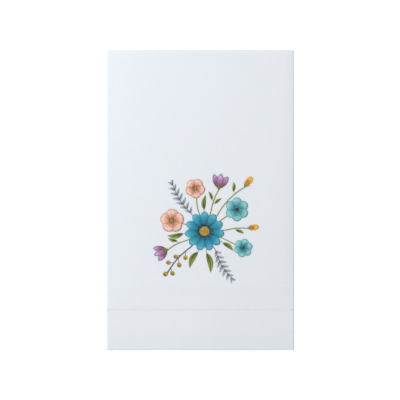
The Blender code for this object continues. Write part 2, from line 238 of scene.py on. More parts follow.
def pressed(turn):
    """A half turn's way out and up: a little squarer than a circle, as in pressed cloth."""
    way_out = np.maximum(np.sin(turn), 0.0)
    way_up = np.cos(turn)
    return way_out ** PRESSED, np.sign(way_up) * np.abs(way_up) ** PRESSED


def across_fold(u, v, inset):
    """Across the cloth: the place from side to side, and the height from the leaf's middle plane."""
    reach = layer(v) - inset
    middle = FOLDED_WIDTH / 2 - layer(v)
    side = np.where(u < 0, -1.0, 1.0)
    beyond = np.abs(u) - SIDE_FOLD
    out, up = pressed(pi * np.clip(beyond / SIDE_ARC, 0.0, 1.0))
    on_panel = np.minimum(np.abs(u), SIDE_FOLD) / SIDE_FOLD * middle
    on_flap = np.maximum(beyond - SIDE_ARC, 0.0)
    x = side * (on_panel + reach * out - on_flap)
    return x, reach * up


def fold(u, v, inset=0.0):
    """Where a point of the cloth lies, at a depth below its right side, when the towel is folded."""
    u, v = np.broadcast_arrays(np.asarray(u, float), np.asarray(v, float))
    x, reach = across_fold(u, v, inset)
    out, up = pressed(pi * np.clip((v - TURN_START) / TURN_ARC, 0.0, 1.0))
    front = v <= TURN_START
    back = v >= TURN_START + TURN_ARC
    front_y = v - FRONT_LENGTH / 2
    turn_y = TURN_Y + (TURN_RADIUS + reach) * out
    back_y = TURN_Y - (v - TURN_START - TURN_ARC)
    y = np.where(front, front_y, np.where(back, back_y, turn_y))
    front_z = front_support(y) + layer(v) + reach
    turn_z = TURN_Z + (TURN_RADIUS + reach) * up
    back_z = layer(v) - reach
    z = np.where(front, front_z, np.where(back, back_z, turn_z))
    x, y = wander(x, y, v)
    z = z + loft(x, y) * np.maximum(0.0, (z - CAD_CLOTH) / (STACK - CAD_CLOTH))
    return np.stack([x, y, z], axis=-1)


def face_height(x, y):
    """Height of the towel's face above the floor."""
    return fold(x, y + FRONT_LENGTH / 2)[..., 2]


# Node trees


class Tree:
    """A material's nodes, added and joined in one call each."""

    def __init__(self, name):
        self.material = bpy.data.materials.new(name)
        self.material.use_nodes = True
        self.tree = self.material.node_tree
        self.shader = self.tree.nodes["Principled BSDF"]

    def add(self, kind, inputs=(), **settings):
        node = self.tree.nodes.new(kind)
        for name, value in settings.items():
            setattr(node, name, value)
        for index, value in dict(inputs).items():
            self.join(value, node.inputs[index])
        return node

    def join(self, value, socket):
        if isinstance(value, bpy.types.NodeSocket):
            self.tree.links.new(value, socket)
        else:
            socket.default_value = value

    def math(self, operation, *values):
        node = self.add("ShaderNodeMath", enumerate(values), operation=operation)
        return node.outputs[0]

    def noise(self, vector, scale, detail=2.0):
        node = self.add("ShaderNodeTexNoise", {"Vector": vector, "Scale": scale, "Detail": detail})
        return node.outputs[0]

    def ramp(self, factor, stops):
        node = self.add("ShaderNodeValToRGB", {0: factor})
        elements = node.color_ramp.elements
        while len(elements) < len(stops):
            elements.new(0.5)
        for element, (place, colour) in zip(elements, stops):
            element.position = place
            element.color = (*colour, 1.0)
        return node.outputs[0]

    def set(self, **values):
        for name, value in values.items():
            self.join(value, self.shader.inputs[name.replace("_", " ")])


def linen_material(name, shades):
    """White plain-weave linen: threads that pass over and under, slubs, and a soft matte nap; its colour is
    painted darker in the weave's hollows.
    """
    tree = Tree(name)
    cut = tree.add("ShaderNodeAttribute", attribute_name="cut").outputs["Vector"]
    parts = tree.add("ShaderNodeSeparateXYZ", {0: cut})
    warp, weft = (
        tree.math("SINE", tree.math("MULTIPLY", place, pi / WEAVE_PITCH)) for place in parts.outputs[:2]
    )
    cross = tree.math("MULTIPLY", warp, weft)
    ridges = tree.math("ADD", tree.math("ABSOLUTE", warp), tree.math("ABSOLUTE", weft))
    weave = tree.math("MULTIPLY_ADD", cross, 0.6, ridges)
    slubs = []
    for scale in SLUB_SCALES:
        stretched = tree.add("ShaderNodeVectorMath", {0: cut, 1: scale}, operation="MULTIPLY")
        slubs.append(tree.noise(stretched.outputs[0], 1.0))
    slub = tree.math("ADD", *slubs)
    nap = tree.noise(cut, NAP_SCALE, detail=3.0)
    height = tree.math("MULTIPLY_ADD", slub, 1.2, weave)
    height = tree.math("MULTIPLY_ADD", nap, 0.5, height)
    bump = tree.add("ShaderNodeBump", {"Strength": 0.35, "Distance": WEAVE_DEPTH, "Height": height})
    # The colour varies at random with the slubs, and with the weave's height: lighter on the threads' crests
    # and darker in the hollows between them, a painted shade.
    shade = tree.math("MULTIPLY_ADD", slub, 0.5, tree.math("MULTIPLY", weave, 0.12))
    colour = tree.ramp(shade, tuple(zip((0.2, 0.9), shades)))
    tree.set(Base_Color=colour, Normal=bump.outputs[0], Roughness=0.9, Sheen_Weight=0.06)
    tree.set(Sheen_Roughness=0.6, Specular_IOR_Level=0.25)
    return tree.material


CLOTH_SHADES = ((0.765, 0.785, 0.815), (0.83, 0.85, 0.88))
# The drawn threads are the same linen but get lighter shades than the cloth: painted light that offsets the
# shade between their yarns.
LIGHTENED_DRAWN_SHADES = ((0.88, 0.90, 0.93), (0.94, 0.96, 0.99))


def thread_material(name, shades):
    """Two-ply embroidery thread: its shades run from tone 0 to 1, its plies wind round the strand, and the
    grooves between them are painted a little darker.
    """
    tree = Tree(name)
    tone = tree.add("ShaderNodeAttribute", attribute_name="tone").outputs["Fac"]
    strand = tree.add("ShaderNodeAttribute", attribute_name="strand").outputs["Vector"]
    parts = tree.add("ShaderNodeSeparateXYZ", {0: strand})
    turns = tree.math("MULTIPLY_ADD", parts.outputs[0], 1 / PLY_LENGTH, parts.outputs[1])
    plies = tree.math("SINE", tree.math("MULTIPLY", turns, 4 * pi))
    fibre = tree.noise(strand, FIBRE_SCALE)
    fibre_tone_and_ply_shade = tree.math("MULTIPLY_ADD", tree.math("SUBTRACT", fibre, 0.5), 0.35, tone)
    # The fibre noise is random tone; the plies' term paints their crests lighter and their grooves darker, a
    # painted shade.
    fibre_tone_and_ply_shade = tree.math("MULTIPLY_ADD", plies, 0.05, fibre_tone_and_ply_shade)
    places = [index / (len(shades) - 1) for index in range(len(shades))]
    colour = tree.ramp(fibre_tone_and_ply_shade, tuple(zip(places, shades)))
    height = tree.math("ADD", plies, fibre)
    bump = tree.add("ShaderNodeBump", {"Strength": 0.3, "Distance": PLY_DEPTH, "Height": height})
    tree.set(Base_Color=colour, Normal=bump.outputs[0], Roughness=0.42, Sheen_Weight=0.25)
    tree.set(Sheen_Roughness=0.35, Specular_IOR_Level=0.45)
    return tree.material


THREADS = {
    "teal": ((0.004, 0.075, 0.13), (0.01, 0.24, 0.37), (0.04, 0.41, 0.55), (0.21, 0.61, 0.68)),
    "aqua": ((0.02, 0.22, 0.28), (0.13, 0.48, 0.5), (0.31, 0.65, 0.63), (0.52, 0.79, 0.75)),
    "peach": ((0.55, 0.17, 0.11), (0.84, 0.44, 0.31), (0.93, 0.66, 0.53), (0.96, 0.8, 0.7)),
    "plum": ((0.08, 0.012, 0.045), (0.24, 0.05, 0.16), (0.52, 0.26, 0.48), (0.76, 0.54, 0.74)),
    "orange": ((0.55, 0.12, 0.006), (0.86, 0.29, 0.01), (0.94, 0.48, 0.025), (0.96, 0.68, 0.1)),
    "olive": ((0.06, 0.09, 0.01), (0.18, 0.23, 0.022), (0.32, 0.38, 0.05), (0.5, 0.54, 0.12)),
    "mustard": ((0.13, 0.055, 0.006), (0.38, 0.2, 0.012), (0.6, 0.36, 0.025), (0.78, 0.53, 0.08)),
    "charcoal": ((0.004, 0.005, 0.009), (0.012, 0.016, 0.024), (0.03, 0.036, 0.05), (0.07, 0.08, 0.1)),
    "grey": ((0.16, 0.18, 0.21), (0.4, 0.44, 0.49), (0.6, 0.65, 0.69), (0.76, 0.8, 0.83)),
}


# The cloth


def stations(*runs):
    """The values from each run's start to its end, in its number of steps."""
    values = [runs[0][0]]
    for start, end, steps in runs:
        values += [start + (end - start) * step / steps for step in range(1, steps + 1)]
    return values


def cloth_columns():
    half = stations(
        (0, SIDE_FOLD - BESIDE, 33),
        (SIDE_FOLD - BESIDE, SIDE_FOLD, 4),
        (SIDE_FOLD, SIDE_FOLD + SIDE_ARC, 10),
        (SIDE_FOLD + SIDE_ARC, FLAT_WIDTH / 2, 14),
    )
    return np.array([-u for u in reversed(half[1:])] + half)


Row = namedtuple("Row", "v inset cut")


def body_rows():
    """The rows of the body, from one hemstitched slot to the other."""
    start = HEM_DEPTH + SLOT / 2
    end = FLAT_LENGTH - start
    runs = (
        (start, start + BESIDE, 4),
        (start + BESIDE, TURN_START - BESIDE, 94),
        (TURN_START - BESIDE, TURN_START, 3),
        (TURN_START, TURN_START + TURN_ARC, 14),
        (TURN_START + TURN_ARC, end - BESIDE, 46),
        (end - BESIDE, end, 3),
    )
    return [Row(v, LINEN / 2, v) for v in stations(*runs)]


def hem_rows():
    """A hem's rows: down its outer layer, round its edge and back up behind."""
    edge = HEM_TURN + LINEN / 2
    top = HEM_DEPTH - SLOT / 2
    rows = [Row(v, LINEN / 2, v) for v in stations((top, edge, 17))]
    for step in range(1, HEM_TURN_STEPS):
        turn = pi * step / HEM_TURN_STEPS
        inset = LINEN / 2 + HEM_TURN * (1 - cos(turn))
        rows.append(Row(edge - HEM_TURN * sin(turn), inset, edge - HEM_TURN * turn))
    behind = LINEN / 2 + 2 * HEM_TURN
    rows += [Row(v, behind, edge - HEM_TURN * pi - (v - edge)) for v in stations((edge, top, 12))]
    return rows


def add_sheet_rows(points, cuts, faces, columns, rows):
    """One stretch of the cloth: a grid of its columns and rows."""
    first = sum(len(block) for block in points)
    v, inset, cut = np.array(rows).T[..., None]
    u = columns[None, :]
    points.append(fold(u, v, inset).reshape(-1, 3))
    across, along = np.broadcast_arrays(u, cut)
    cuts.append(np.stack([across, along, np.zeros_like(across)], axis=-1).reshape(-1, 3))
    width = len(columns)
    for row in range(len(rows) - 1):
        for column in range(width - 1):
            corner = first + row * width + column
            faces.append((corner, corner + 1, corner + width + 1, corner + width))


def make_cloth(material):
    """The towel's linen: the body and the two turned hems, parted by the drawn-thread slots."""
    points, cuts, faces = [], [], []
    columns = cloth_columns()
    add_sheet_rows(points, cuts, faces, columns, body_rows())
    front_hem = hem_rows()
    add_sheet_rows(points, cuts, faces, columns, front_hem[::-1])
    back_hem = [Row(FLAT_LENGTH - row.v, row.inset, FLAT_LENGTH - row.cut) for row in front_hem]
    add_sheet_rows(points, cuts, faces, columns, back_hem)
    cloth = new_object("towel_linen", np.concatenate(points), faces, material)
    add_values(cloth.data, "cut", np.concatenate(cuts))
    thicken = cloth.modifiers.new("thickness", "SOLIDIFY")
    thicken.thickness = LINEN
    thicken.offset = 0
    thicken.use_even_offset = True
    depsgraph = bpy.context.evaluated_depsgraph_get()
    thick = cloth.evaluated_get(depsgraph)
    solid = bpy.data.meshes.new_from_object(thick, preserve_all_data_layers=True, depsgraph=depsgraph)
    cloth.modifiers.clear()
    cloth.data = solid
    solid.set_sharp_from_angle(angle=RIM_ANGLE)
    return cloth


def add_item(name, data):
    item = bpy.data.objects.new(name, data)
    bpy.context.scene.collection.objects.link(item)
    return item


def new_object(name, points, faces, material):
    mesh = bpy.data.meshes.new(name)
    mesh.from_pydata(np.asarray(points).tolist(), [], faces)
    mesh.materials.append(material)
    mesh.shade_smooth()
    return add_item(name, mesh)


def add_values(mesh, name, values):
    """A number or a vector for each of a mesh's points, for its material to read."""
    values = np.asarray(values, np.float32)
    kind, field = ("FLOAT", "value") if values.ndim == 1 else ("FLOAT_VECTOR", "vector")
    mesh.attributes.new(name, kind, "POINT").data.foreach_set(field, values.ravel())


def tube_faces(first, rings, sides):
    """The faces of a closed tube of rings, with a cap at each end."""
    faces = []
    for ring in range(rings - 1):
        for side in range(sides):
            corner = first + ring * sides
            after = (side + 1) % sides
            faces.append((corner + side, corner + after, corner + sides + after, corner + sides + side))
    faces.append(tuple(first + side for side in reversed(range(sides))))
    last = first + (rings - 1) * sides
    faces.append(tuple(last + side for side in range(sides)))
    return faces


# The hemstitching

Gather = namedtuple("Gather", "along spread")
GATHERS = (
    Gather(-0.80, 1.00),
    Gather(0.05, 0.98),
    Gather(0.25, 0.86),
    Gather(0.50, 0.77),
    Gather(0.75, 0.86),
    Gather(0.95, 0.98),
    Gather(1.80, 1.00),
)


def add_tube(blocks, u, v, inset):
    """One closed tube of cloth-fast thread: its rings' places along, across and into the cloth."""
    u, v, inset = np.broadcast_arrays(u, v, inset)
    blocks["points"].append(fold(u, v, inset).reshape(-1, 3))
    blocks["cuts"].append(np.stack([u, v, inset], axis=-1).reshape(-1, 3))
    blocks["faces"] += tube_faces(blocks["count"], *u.shape)
    blocks["count"] += u.size


def make_hemstitching(material):
    """The lengthwise threads left across each slot, gathered into bundles and bound at the waist."""
    count = int(FLAT_WIDTH / BUNDLE_PITCH)
    turns = full_turn(YARN_SIDES)
    along, spread = np.array(GATHERS).T[..., None]
    band_turns = full_turn(BAND_SIDES)
    band, swell = np.array((BAND_RINGS, BAND_SWELLS))[..., None]
    blocks = {"points": [], "cuts": [], "faces": [], "count": 0}
    for hem in (0, 1):
        for bundle in range(count):
            middle = (bundle + 0.5 - count / 2) * BUNDLE_PITCH
            for yarn in range(YARNS):
                off = (yarn - (YARNS - 1) / 2) * BUNDLE_PITCH / YARNS
                v = HEM_DEPTH + SLOT * (along - 0.5)
                u = middle + off * spread + np.cos(turns) * YARN / 2
                inset = (1.1 - np.sin(turns)) * YARN_DEPTH / 2
                add_tube(blocks, u, FLAT_LENGTH - v if hem else v, inset)
            v = HEM_DEPTH + band * BAND_WIDTH / 2
            u = middle + np.cos(band_turns) * swell * BAND_REACH
            inset = BAND_DEPTH - np.sin(band_turns) * swell * BAND_DEPTH
            add_tube(blocks, u, FLAT_LENGTH - v if hem else v, inset)
    stitching = new_object("hemstitching", np.concatenate(blocks["points"]), blocks["faces"], material)
    add_values(stitching.data, "cut", np.concatenate(blocks["cuts"]))
    return stitching


# The posy's layout

Blossom = namedtuple("Blossom", "name thread eye_thread x y petals first reach width eye")
BLOSSOMS = (
    Blossom("daisy", "teal", "mustard", 0, -6, petals=11, first=90, reach=19.0, width=9.4, eye=5.0),
    Blossom("left_blossom", "peach", "olive", -31, 4, petals=5, first=90, reach=11.5, width=12.0, eye=2.2),
    Blossom("top_blossom", "peach", "olive", -9, 35, petals=5, first=60, reach=9.5, width=10.0, eye=2.0),
    Blossom("right_blossom", "aqua", "charcoal", 31, 15, petals=6, first=90, reach=11.5, width=9.8, eye=2.4),
    Blossom("low_blossom", "aqua", "charcoal", 37, -22, petals=6, first=75, reach=9.0, width=7.8, eye=2.0),
)
DAISY = BLOSSOMS[0]

Cup = namedtuple("Cup", "name thread x y angle reach width")
CUPS = (
    Cup("upper_tulip", "plum", 13.5, 34.5, angle=80, reach=15.0, width=8.0),
    Cup("lower_tulip", "plum", -35.5, -23.5, angle=203, reach=14.0, width=7.6),
)

Bud = namedtuple("Bud", "name thread x y angle length width")
BUDS = (
    Bud("upper_bud", "orange", 38.5, 37.0, angle=52, length=11.5, width=6.6),
    Bud("right_bud", "orange", 42.0, -3.0, angle=8, length=10.0, width=6.0),
)

Leaf = namedtuple("Leaf", "name x y angle length width bend thread lobes", defaults=("olive", 0))
LEAVES = (
    Leaf("upper_fern", -13.0, 11.2, angle=121, length=37, width=11, bend=2.5, thread="grey", lobes=7),
    Leaf("lower_fern", 10.6, -24.6, angle=-58, length=34, width=11, bend=-2.5, thread="grey", lobes=7),
    Leaf("leaf_left", -20.8, -8.2, angle=188, length=15, width=5.0, bend=1.5),
    Leaf("leaf_low_left", -6.6, -26.0, angle=243, length=17, width=5.6, bend=-1.8),
    Leaf("leaf_low", 2.0, -27.0, angle=281, length=19, width=5.8, bend=1.8),
    Leaf("leaf_right", 17.6, -17.2, angle=323, length=12.5, width=4.4, bend=1.0),
    Leaf("leaf_top", -0.6, 15.0, angle=83, length=14, width=4.6, bend=1.0),
    Leaf("leaf_tulip_left", 7.0, 24.4, angle=112, length=8.5, width=3.2, bend=-0.6),
    Leaf("leaf_tulip_right", 10.0, 20.6, angle=38, length=8.0, width=3.0, bend=0.6),
    Leaf("leaf_bud_stem", 27.4, 32.4, angle=88, length=9.0, width=3.4, bend=-0.7),
    Leaf("leaf_low_bud", 30.0, -5.0, angle=-22, length=8.5, width=3.2, bend=0.6),
    Leaf("leaf_lower_tulip", -26.4, -15.2, angle=164, length=9.0, width=3.4, bend=0.7),
)

Stem = namedtuple("Stem", "name angle x y bow thread", defaults=("olive",))
STEMS = (
    Stem("left_blossom_stem", angle=160, x=-21.4, y=1.3, bow=0),
    Stem("top_blossom_stem", angle=107, x=-7.6, y=25.6, bow=0.6),
    Stem("right_blossom_stem", angle=34, x=21.3, y=8.6, bow=0),
    Stem("low_blossom_stem", angle=-21, x=28.4, y=-18.2, bow=0),
    Stem("upper_tulip_stem", angle=72, x=12.9, y=32.8, bow=1.0),
    Stem("lower_tulip_stem", angle=207, x=-33.8, y=-22.7, bow=-1.0),
    Stem("upper_bud_stem", angle=52, x=37.5, y=35.7, bow=2.4),
    Stem("right_bud_stem", angle=3, x=41.1, y=-3.2, bow=1.0),
    Stem("berry_twig", angle=229, x=-34.6, y=-44.4, bow=-1.8, thread="charcoal"),
)
TWIG = STEMS[-1]

Berry = namedtuple("Berry", "name x y radius")
BERRIES = (
    Berry("berry_1", -18.4, -31.2, 2.1),
    Berry("berry_2", -27.6, -30.2, 2.1),
    Berry("berry_3", -24.4, -38.2, 2.2),
    Berry("berry_4", -34.6, -36.0, 2.1),
    Berry("berry_5", -30.8, -46.2, 2.2),
    Berry("berry_6", -37.4, -46.8, 2.3),
)

Sepal = namedtuple("Sepal", "length spread")
SEPALS = (
    Sepal(length=0.34, spread=0.42),
    Sepal(length=0.42, spread=0.18),
    Sepal(length=0.42, spread=-0.18),
    Sepal(length=0.34, spread=-0.42),
)

STEM_START = 20.2
STEM_BITE = 1.6
STEM_STEPS = 16
CUP_SPREAD = radians(28)
CUP_POINT = 0.55
CUP_ROWS = 3
CUP_OPENING = radians(52)
BUD_BASE = 0.62
BUD_CROWN = 1.12
LEAFLET_WIDTH = 0.44
FIRST_LEAFLET = 0.25
LAST_LEAFLET = 0.93
EYE_GAP = 0.2
RIM_GAP = 0.25
EDGE_TONES = {"teal": 0.30, "aqua": 0.22, "peach": 0.10}
ROW_DEPTH = 4.4
KNOT = 0.55
GOLDEN_TURN = 2.39996


# Stitches, each from one place to another: the places and lifts are in millimetres

Stitch = namedtuple("Stitch", "x0 y0 lift0 x1 y1 lift1 width tone0 tone1")


def turned(x, y, motif, angle):
    """A place in a motif's own axes, turned by an angle in radians and moved to the motif."""
    c = np.cos(angle)
    s = np.sin(angle)
    return motif.x + c * x - s * y, motif.y + s * x + c * y


def strands(stitches):
    """The points and faces of stitches as arched strands whose ends go down into the cloth."""
    table = np.array(stitches, float)
    start, end = table[:, 0:3], table[:, 3:6]
    width = table[:, 6]
    share = np.linspace(0, 1, THREAD_RINGS)
    along = start[:, None, :] + (end - start)[:, None, :] * share[None, :, None]
    run = end[:, :2] - start[:, :2]
    length = np.maximum(np.hypot(run[:, 0], run[:, 1]), TINY)
    side = np.stack([-run[:, 1], run[:, 0]], axis=-1) / length[:, None]
    turns = full_turn(THREAD_SIDES)
    round_off = 0.45 + 0.55 * np.sin(pi * share) ** 0.5
    half = width[:, None] / 2 * round_off[None, :]
    arch = 0.16 * np.sin(pi * share) ** 0.7 - 0.10
    x = along[..., 0:1] + side[:, 0, None, None] * half[..., None] * np.cos(turns)
    y = along[..., 1:2] + side[:, 1, None, None] * half[..., None] * np.cos(turns)
    lift = along[..., 2:3] + arch[None, :, None] + 0.8 * half[..., None] * np.sin(turns)
    points = on_face(x, y, lift)
    tone = table[:, 7, None] + (table[:, 8] - table[:, 7])[:, None] * share[None, :]
    tones = np.broadcast_to(tone[..., None], x.shape).ravel()
    distance = share[None, :, None] * length[:, None, None] * MM
    seed = np.arange(len(table))[:, None, None] * 0.37
    around = np.broadcast_to(np.arange(THREAD_SIDES) / THREAD_SIDES, x.shape)
    strand = np.stack(np.broadcast_arrays(distance, around, seed), axis=-1).reshape(-1, 3)
    faces = []
    ring_points = THREAD_RINGS * THREAD_SIDES
    for stitch in range(len(table)):
        faces += tube_faces(stitch * ring_points, THREAD_RINGS, THREAD_SIDES)
    return points, faces, tones, strand


def on_face(x, y, lift):
    """Points in metres for places of the posy, at a lift above the towel's face."""
    x = POSY_X + np.asarray(x, float) * MM
    y = POSY_Y + np.asarray(y, float) * MM
    return np.stack([x, y, face_height(x, y) + np.asarray(lift) * MM], axis=-1).reshape(-1, 3)


def ground(outline, tone):
    """A thin closed patch under a motif's stitches, as the layer of thread worked first."""
    flat = bmesh.new()
    rims = []
    for lift in GROUND_LIFTS:
        rims.append([flat.verts.new((px, py, lift)) for px, py in outline])
    count = len(outline)
    for index in range(count):
        after = (index + 1) % count
        flat.faces.new((rims[0][index], rims[0][after], rims[1][after], rims[1][index]))
    caps = [flat.faces.new(rims[1]), flat.faces.new(rims[0][::-1])]
    flat.normal_update()
    bmesh.ops.triangulate(flat, faces=caps)
    bmesh.ops.recalc_face_normals(flat, faces=flat.faces)
    flat.verts.index_update()
    points = np.array([vertex.co[:] for vertex in flat.verts])
    faces = [tuple(vertex.index for vertex in face.verts) for face in flat.faces]
    flat.free()
    lifted = on_face(points[:, 0], points[:, 1], points[:, 2])
    return lifted, faces, np.full(len(points), tone), lifted


def make_worked(name, thread, materials, blocks):
    """A worked piece in one thread: its ground patches, stitches and knots as one mesh."""
    points, faces, tones, strand = [], [], [], []
    first = 0
    for block in blocks:
        points.append(block[0])
        faces += [tuple(first + corner for corner in face) for face in block[1]]
        tones.append(block[2])
        strand.append(block[3])
        first += len(block[0])
    piece = new_object(name, np.concatenate(points), faces, materials[thread])
    add_values(piece.data, "tone", np.concatenate(tones))
    add_values(piece.data, "strand", np.concatenate(strand))
    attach(piece, "root")
    return piece


def line_stitches(points, width, lift, tone, rng, length=1.9):
    """Stem stitch along a line of points: short overlapping stitches, each a little aslant."""
    points = np.asarray(points, float)
    steps = np.hypot(*np.diff(points, axis=0).T)
    distance = np.concatenate([[0], np.cumsum(steps)])
    total = distance[-1]
    count = max(1, round(total / (length * 0.6)))
    stitches = []
    for index in range(count):
        start = total * index / count
        end = min(total, start + length)
        x0, x1 = np.interp((start, end), distance, points[:, 0])
        y0, y1 = np.interp((start, end), distance, points[:, 1])
        run = max(hypot(x1 - x0, y1 - y0), TINY)
        aslant = width * 0.22
        nx, ny = -(y1 - y0) / run * aslant, (x1 - x0) / run * aslant
        shade = tone + TONE_NOISE * (rng.random() - 0.5)
        ends = (x0 - nx, y0 - ny, lift, x1 + nx, y1 + ny, lift)
        stitches.append(Stitch(*ends, width, shade, shade))
    return stitches


def stroke(motif, angle, start, end, lift, width, tone):
    """A straight stitch in a motif's own axes, from one (x, y) to another."""
    x0, y0 = turned(*start, motif, angle)
    x1, y1 = turned(*end, motif, angle)
    return Stitch(x0, y0, lift[0], x1, y1, lift[1], width, tone[0], tone[1])


# Blossoms


def petal_axis(blossom, petal):
    return radians(blossom.first) + 2 * pi * petal / blossom.petals


def petal_reach(turn, reach, width):
    """From a petal's root to its rim, at a turn from its axis, on an oval through the root."""
    along = reach / 2
    across = width / 2
    return (2 * np.cos(turn) / along) / ((np.cos(turn) / along) ** 2 + (np.sin(turn) / across) ** 2)


def petal_stitches(blossom, petal, rng):
    """Long-and-short rows from the eye to the rim of one petal, lighter outwards and to one side."""
    axis = petal_axis(blossom, petal)
    limit = pi / blossom.petals
    inner = blossom.eye + EYE_GAP
    rows = max(2, round((blossom.reach - inner) / ROW_DEPTH))
    depth = (blossom.reach - inner) / rows
    stitches = []
    for row in range(rows):
        near = inner + depth * row
        count = max(3, int(2 * limit * (near + depth * 0.5) / SPACING))
        for place in range(count):
            turn = -limit + (place + 0.5) * 2 * limit / count
            rim = float(petal_reach(turn, blossom.reach, blossom.width)) - RIM_GAP
            start = near - depth * 0.6 * rng.random() if row else near
            end = rim if row == rows - 1 else min(rim, near + depth * (1.0 + 0.5 * rng.random()))
            if end - start < SHORTEST:
                continue
            side = turn / limit
            shift = 0.12 * side - 0.14 * side * side + 0.10 * (rng.random() - 0.5)
            tones = [1.12 * (radius / blossom.reach) ** 1.3 - 0.12 + shift for radius in (start, end)]
            lift = 0.34 + 0.26 * (1 - side * side) + 0.05 * (rows - 1 - row)
            lifts = (lift, lift * 0.85)
            stitches.append(stroke(blossom, axis + turn, (start, 0), (end, 0), lifts, THREAD, tones))
    return stitches


def petal_rim(blossom, petal, steps=14):
    """The outline of one petal, from where it leaves its neighbour, over its tip."""
    limit = pi / blossom.petals
    turns = np.linspace(-limit, limit, steps)
    rim = petal_reach(turns, blossom.reach, blossom.width) - 0.1
    return np.stack(turned(rim, 0, blossom, petal_axis(blossom, petal) + turns), axis=-1)


def petal_seam(blossom, petal):
    """The line between two neighbouring petals, from the eye to their fork."""
    limit = pi / blossom.petals
    fork = float(petal_reach(limit, blossom.reach, blossom.width))
    ends = np.array([blossom.eye + 0.6, fork])
    return np.stack(turned(ends, 0, blossom, petal_axis(blossom, petal) + limit), axis=-1)


def petal_veins(blossom, petal, rng):
    """Three fine strokes in the darkest shade, from the eye out over a petal."""
    limit = pi / blossom.petals
    veins = []
    for off, share in ((-0.45, 0.26), (0.0, 0.42), (0.45, 0.26)):
        turn = petal_axis(blossom, petal) + off * limit
        start = blossom.eye + EYE_GAP
        end = start + (blossom.reach - blossom.eye) * share * (0.9 + 0.2 * rng.random())
        veins.append(stroke(blossom, turn, (start, 0), (end, 0), (TOP_LIFT, 0.66), VEIN_WIDTH, (-0.1, 0.15)))
    return veins


def knots(places, size, rng):
    """Knots at places: each is a coil of thread round its own middle."""
    around, sides = 10, 6
    turns = full_turn(around)[:, None]
    profile = full_turn(sides)[None, :]
    points, faces, tones, strand = [], [], [], []
    for x, y in places:
        radius = size * (0.9 + 0.2 * rng.random())
        tone = 0.35 + 0.55 * rng.random()
        ring = radius * (0.52 + 0.46 * np.cos(profile))
        lift = 0.45 + radius * 0.55 * np.sin(profile) + 0 * turns
        first = len(points) * around * sides
        points.append(on_face(x + ring * np.cos(turns), y + ring * np.sin(turns), lift))
        tones.append(np.full(lift.size, tone))
        coil = np.broadcast_arrays(turns * radius * MM, profile / (2 * pi), tone)
        strand.append(np.stack(coil, axis=-1).reshape(-1, 3))
        for turn in range(around):
            here = first + turn * sides
            there = first + (turn + 1) % around * sides
            for side in range(sides):
                after = (side + 1) % sides
                faces.append((here + side, there + side, there + after, here + after))
    return np.concatenate(points), faces, np.concatenate(tones), np.concatenate(strand)


def eye_knots(blossom, rng):
    """The eye's knots, set as closely as a sunflower's seeds."""
    count = int(0.85 * (blossom.eye / (KNOT * 0.92)) ** 2)
    places = []
    for index in range(count):
        radius = (blossom.eye - KNOT * 0.8) * ((index + 0.5) / count) ** 0.5
        turn = index * GOLDEN_TURN
        places.append((blossom.x + radius * cos(turn), blossom.y + radius * sin(turn)))
    return knots(places, KNOT, rng)


def circle(x, y, radius, steps=24):
    turns = full_turn(steps)
    return np.stack([x + radius * np.cos(turns), y + radius * np.sin(turns)], axis=-1)


def make_blossom(blossom, materials):
    rng = np.random.default_rng(len(blossom.name) + blossom.petals * 7)
    stitches = []
    edge = EDGE_TONES[blossom.thread]
    rims = []
    for petal in range(blossom.petals):
        stitches += petal_stitches(blossom, petal, rng)
        stitches += line_stitches(petal_rim(blossom, petal), OUTLINE_WIDTH, 0.36, edge, rng)
        stitches += line_stitches(petal_seam(blossom, petal), SEAM_WIDTH, 0.48, 0.06, rng)
        if blossom.thread != "teal":
            stitches += petal_veins(blossom, petal, rng)
        rims.append(petal_rim(blossom, petal, steps=8)[:-1])
    blocks = [ground(np.concatenate(rims), GROUND_TONE), strands(stitches)]
    petals = make_worked(blossom.name + "_petals", blossom.thread, materials, blocks)
    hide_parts(blossom.name)
    blocks = [ground(circle(blossom.x, blossom.y, blossom.eye), 0.1), eye_knots(blossom, rng)]
    heart = make_worked(blossom.name + "_heart", blossom.eye_thread, materials, blocks)
    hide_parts(blossom.name + "_eye")


def make_stamens(materials):
    """Fine dark strokes all round the daisy's eye, long and short in turn."""
    rng = np.random.default_rng(41)
    count = DAISY.petals * 4
    stitches = []
    for index in range(count):
        turn = 2 * pi * (index + 0.3 * rng.random()) / count
        start = DAISY.eye - 0.1
        end = start + (3.4 if index % 2 else 2.0) + 0.5 * rng.random()
        stitches.append(stroke(DAISY, turn, (start, 0), (end, 0), (0.78, 0.70), SEAM_WIDTH, (0.1, 0.5)))
    make_worked("daisy_stamens", "charcoal", materials, [strands(stitches)])


# Tulips, buds and berries


def cup_reach(off, cup):
    """From a tulip's base to a petal's rim, at a share of the petal's half width."""
    return cup.reach * max(0.0, 1 - abs(off)) ** CUP_POINT


